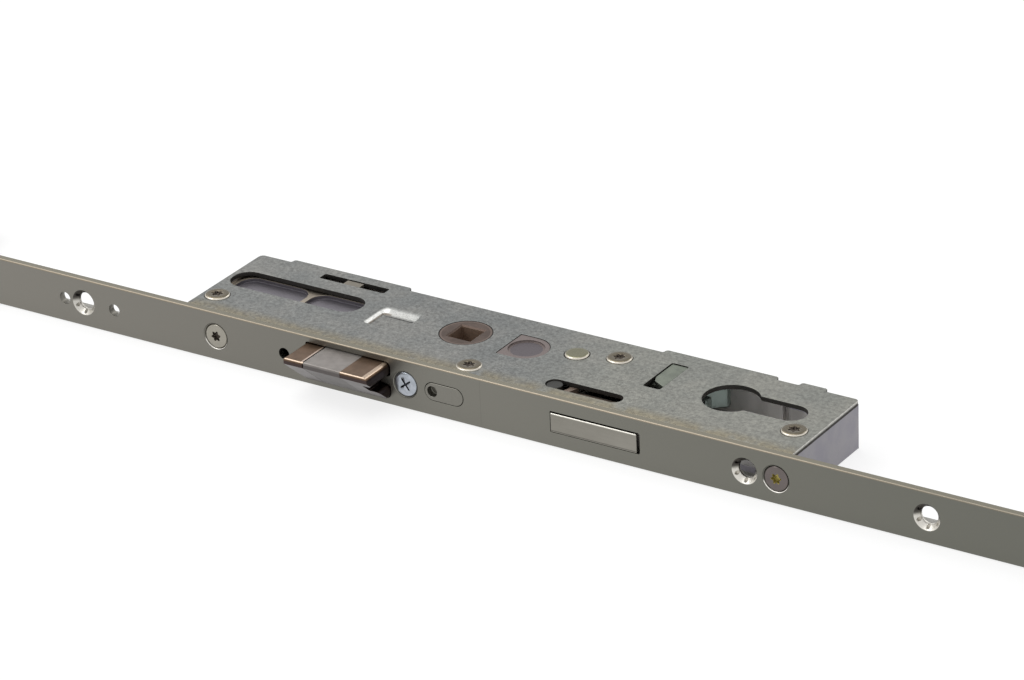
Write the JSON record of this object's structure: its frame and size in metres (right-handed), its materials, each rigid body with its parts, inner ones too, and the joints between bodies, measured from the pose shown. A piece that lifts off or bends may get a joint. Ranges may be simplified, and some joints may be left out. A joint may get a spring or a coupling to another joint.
{
  "type": "multipoint door lock",
  "caption": "Narrow door lock with a sprung latch, a square spindle socket, a key-cylinder cut-out, a deadbolt and swing hooks, all on one long faceplate.",
  "frame": {"origin": "centre of the spindle socket, halfway through the lock case's thickness", "axes": "+X along the faceplate towards the key-cylinder cut-out, +Y into the door leaf, away from the faceplate, +Z out of the case cover"},
  "size_m": [0.62, 0.0555, 0.0164],
  "materials": {
    "faceplate_steel": "satin rolled steel, fine and even",
    "die_casting": "bare zinc die casting, slightly violet grey",
    "galvanised_sheet": "galvanised sheet with a mottled bloom",
    "nickel_screw": "warm nickel plate",
    "yellow_screw": "zinc plate with a yellow passivation in the socket",
    "blue_zinc": "bright zinc plate with a blue cast",
    "sintered_steel": "brown steam-treated sintered steel",
    "zinc_plate": "zinc-plated punched strip",
    "pin_steel": "drawn steel",
    "nickel_latch": "brown nickel plate on a casting",
    "latch_insert": "grey moulded insert, satin",
    "spring_wire": "drawn spring wire",
    "carriage_casting": "bare die casting",
    "bolt_steel": "nickel-plated steel",
    "olive_zinc": "zinc plate with an olive cast"
  },
  "bodies": {
    "frame": {"faceplate": "faceplate_steel", "case_body": "die_casting", "case_cover": "galvanised_sheet", "cover_screws": "nickel_screw", "cover_rivet": "nickel_screw", "faceplate_screws": "yellow_screw", "latch_reversing_screw": "blue_zinc", "locating_plug": "faceplate_steel", "latch_spring": "spring_wire", "return_spring": "spring_wire", "upper_hook_body": "die_casting", "upper_hook_cover": "galvanised_sheet", "upper_hook_pin": "pin_steel", "upper_hook_screws": "nickel_screw", "lower_hook_body": "die_casting", "lower_hook_cover": "galvanised_sheet", "lower_hook_pin": "pin_steel", "lower_hook_screws": "nickel_screw"},
    "drive": {"drive_slider": "zinc_plate", "slider_pin": "pin_steel", "transfer_bar": "zinc_plate", "transfer_pin": "pin_steel", "upper_rod": "zinc_plate", "lower_rod": "zinc_plate", "upper_hook_slide": "zinc_plate", "lower_hook_slide": "zinc_plate"},
    "drive_follower": {"drive_follower": "sintered_steel"},
    "follower_link": {"follower_link": "zinc_plate"},
    "drive_lever": {"drive_lever": "zinc_plate"},
    "upper_hook": {"upper_hook": "bolt_steel"},
    "lower_hook": {"lower_hook": "bolt_steel"},
    "latch_follower": {"latch_follower": "sintered_steel"},
    "latch": {"latch_head": "nickel_latch", "latch_insert": "latch_insert"},
    "spring_carriage": {"spring_carriage": "carriage_casting"},
    "deadbolt": {"deadbolt": "bolt_steel"},
    "locking_slide": {"locking_slide": "olive_zinc"}
  },
  "joints": [
    {"name": "drive_slide", "type": "slide", "parent": "frame", "child": "drive", "axis": [1, 0, 0], "range_m": [0, 0.018]},
    {"name": "drive_follower_turn", "type": "hinge", "parent": "frame", "child": "drive_follower", "pos_m": [0, 0, 0], "axis": [0, 0, 1], "range_deg": [0, 45]},
    {"name": "link_slide", "type": "slide", "parent": "frame", "child": "follower_link", "axis": [1, 0, 0], "range_m": [0, 0.01072]},
    {"name": "lever_turn", "type": "hinge", "parent": "frame", "child": "drive_lever", "pos_m": [0.0497, 0.007, 0], "axis": [0, 0, 1], "range_deg": [0, 42.36]},
    {"name": "upper_hook_turn", "type": "hinge", "parent": "frame", "child": "upper_hook", "pos_m": [-0.24, -0.007, 0], "axis": [0, 0, 1], "range_deg": [-76.1, 0]},
    {"name": "lower_hook_turn", "type": "hinge", "parent": "frame", "child": "lower_hook", "pos_m": [0.252, -0.007, 0], "axis": [0, 0, 1], "range_deg": [-76.1, 0]},
    {"name": "latch_follower_turn", "type": "hinge", "parent": "frame", "child": "latch_follower", "pos_m": [0, 0, 0], "axis": [0, 0, 1], "range_deg": [-45, 0]},
    {"name": "latch_slide", "type": "slide", "parent": "frame", "child": "latch", "axis": [0, 1, 0], "range_m": [0, 0.012], "stiffness_N_per_m": 300, "springref_m": -0.008, "deforming": ["latch_spring"]},
    {"name": "carriage_slide", "type": "slide", "parent": "frame", "child": "spring_carriage", "axis": [1, 0, 0], "range_m": [0, 0.00842], "deforming": ["return_spring"]},
    {"name": "deadbolt_slide", "type": "slide", "parent": "frame", "child": "deadbolt", "axis": [0, -1, 0], "range_m": [0, 0.02]},
    {"name": "locking_slide_travel", "type": "slide", "parent": "frame", "child": "locking_slide", "axis": [0, -1, 0], "range_m": [0, 0.0023], "stiffness_N_per_m": 60, "springref_m": -0.004}
  ],
  "couplings": [
    {"joint": "drive_follower_turn", "follows": "drive_slide", "rad_per_m": 43.633},
    {"joint": "link_slide", "follows": "drive_slide", "ratio": 0.59529},
    {"joint": "lever_turn", "follows": "drive_slide", "rad_per_m": 41.069},
    {"joint": "upper_hook_turn", "follows": "drive_slide", "rad_per_m": -73.783},
    {"joint": "lower_hook_turn", "follows": "drive_slide", "rad_per_m": -73.783},
    {"joint": "latch_follower_turn", "follows": "latch_slide", "rad_per_m": -65.45},
    {"joint": "carriage_slide", "follows": "latch_slide", "ratio": 0.70159}
  ]
}
